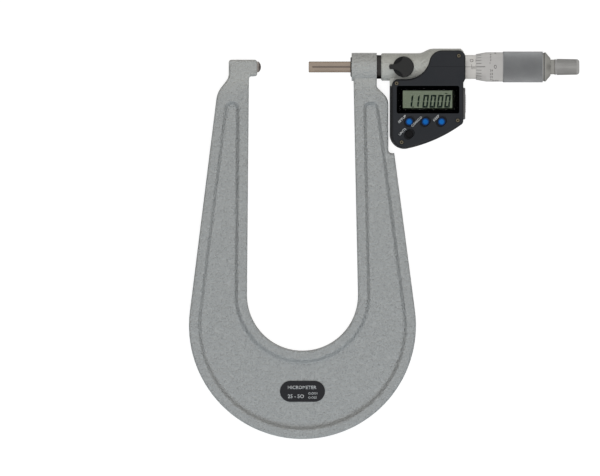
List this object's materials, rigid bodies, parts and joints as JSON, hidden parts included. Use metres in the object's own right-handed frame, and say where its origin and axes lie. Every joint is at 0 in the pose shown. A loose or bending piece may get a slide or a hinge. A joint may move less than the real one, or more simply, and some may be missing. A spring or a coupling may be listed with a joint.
{
  "type": "digital outside micrometer",
  "caption": "Deep-throat digital outside micrometer with a U-shaped cast frame, display box with buttons, lock lever, graduated sleeve and thimble, and ratchet stop.",
  "frame": {"origin": "crown of the anvil's domed facing, on the spindle axis", "axes": "+X from the anvil along the spindle to the ratchet knob, +Y away from the U-frame's round end, +Z out of the display, so the part lies on its back"},
  "size_m": [0.2287, 0.2287, 0.0234],
  "materials": {
    "frame_paint": "hammertone grey paint",
    "casting_paint": "fine grey paint",
    "anvil_steel": "hardened steel",
    "carbide": "lapped carbide",
    "nameplate_black": "black anodised plate",
    "black_oxide": "blackened steel",
    "seal_rubber": "black rubber",
    "housing_plastic": "fine matt moulding",
    "cover_plastic": "fine matt moulding",
    "mask_black": "black print",
    "window_clear": "clear",
    "lcd_glass": "display glass with plain digits",
    "blue_button": "blue moulding",
    "black_button": "black moulding",
    "screw_bronze": "bronzed steel",
    "port_grey": "grey moulding",
    "lever_black": "black moulding",
    "spindle_steel": "ground steel",
    "satin_chrome": "satin chrome",
    "knurl_chrome": "satin chrome knurl",
    "knob_steel": "satin chrome flutes",
    "brass": "turned brass",
    "board_green": "solder mask",
    "pad_rubber": "grey silicone",
    "cell_steel": "plated steel",
    "connector_black": "moulded"
  },
  "bodies": {
    "root": {"u_frame": "frame_paint", "anvil": "anvil_steel", "anvil_tip": "carbide", "nameplate": "nameplate_black", "stem_bush": "black_oxide", "stem_nut": "black_oxide", "wiper_seal": "seal_rubber", "head_casting": "casting_paint", "rear_housing": "housing_plastic", "housing_seal": "seal_rubber", "front_cover": "cover_plastic", "cover_screws": "screw_bronze", "display_mask": "mask_black", "display_window": "window_clear", "lcd_panel": "lcd_glass", "button_pad": "pad_rubber", "circuit_board": "board_green", "battery": "cell_steel", "battery_cap": "housing_plastic", "battery_contact": "cell_steel", "data_connector": "connector_black", "port_cover": "port_grey", "port_screws": "screw_bronze", "clamp_shoe": "brass", "encoder_stator": "board_green", "inner_sleeve": "anvil_steel", "adjusting_nut": "anvil_steel", "outer_sleeve": "satin_chrome"},
    "rotor": {"encoder_rotor": "brass"},
    "spindle": {"spindle": "spindle_steel", "spindle_tip": "carbide", "thimble": "satin_chrome", "thimble_grip": "knurl_chrome", "thimble_cap": "satin_chrome", "ratchet_bolt": "knob_steel", "ratchet_disc": "anvil_steel"},
    "ratchet": {"ratchet_knob": "knob_steel", "ratchet_spring": "cell_steel"},
    "lock_lever": {"lock_lever": "lever_black", "clamp_shaft": "anvil_steel"},
    "button_set": {"button_set": "blue_button"},
    "button_zero": {"button_zero": "blue_button"},
    "button_hold": {"button_hold": "blue_button"},
    "button_unit": {"button_unit": "black_button"}
  },
  "joints": [
    {"name": "thimble_turn", "type": "hinge", "parent": "root", "child": "rotor", "pos_m": [0.104, 0, 0], "axis": [1, 0, 0], "range_deg": [-1440, 12960]},
    {"name": "spindle_feed", "type": "slide", "parent": "rotor", "child": "spindle", "axis": [1, 0, 0], "range_m": [-0.00254, 0.02286]},
    {"name": "ratchet_turn", "type": "hinge", "parent": "spindle", "child": "ratchet", "pos_m": [0.179, 0, 0], "axis": [1, 0, 0], "continuous": true},
    {"name": "lock_turn", "type": "hinge", "parent": "root", "child": "lock_lever", "pos_m": [0.0834, 0, 0.0108], "axis": [0, 0, 1], "range_deg": [-60, 0]},
    {"name": "button_set_press", "type": "slide", "parent": "root", "child": "button_set", "axis": [0, 0, -1], "range_m": [0, 0.0005], "stiffness_N_per_m": 1500, "springref_m": -0.0002},
    {"name": "button_zero_press", "type": "slide", "parent": "root", "child": "button_zero", "axis": [0, 0, -1], "range_m": [0, 0.0005], "stiffness_N_per_m": 1500, "springref_m": -0.0002},
    {"name": "button_hold_press", "type": "slide", "parent": "root", "child": "button_hold", "axis": [0, 0, -1], "range_m": [0, 0.0005], "stiffness_N_per_m": 1500, "springref_m": -0.0002},
    {"name": "button_unit_press", "type": "slide", "parent": "root", "child": "button_unit", "axis": [0, 0, -1], "range_m": [0, 0.0005], "stiffness_N_per_m": 1500, "springref_m": -0.0002}
  ],
  "couplings": [
    {"joint": "thimble_turn", "follows": "spindle_feed", "rad_per_m": 9894.8}
  ]
}
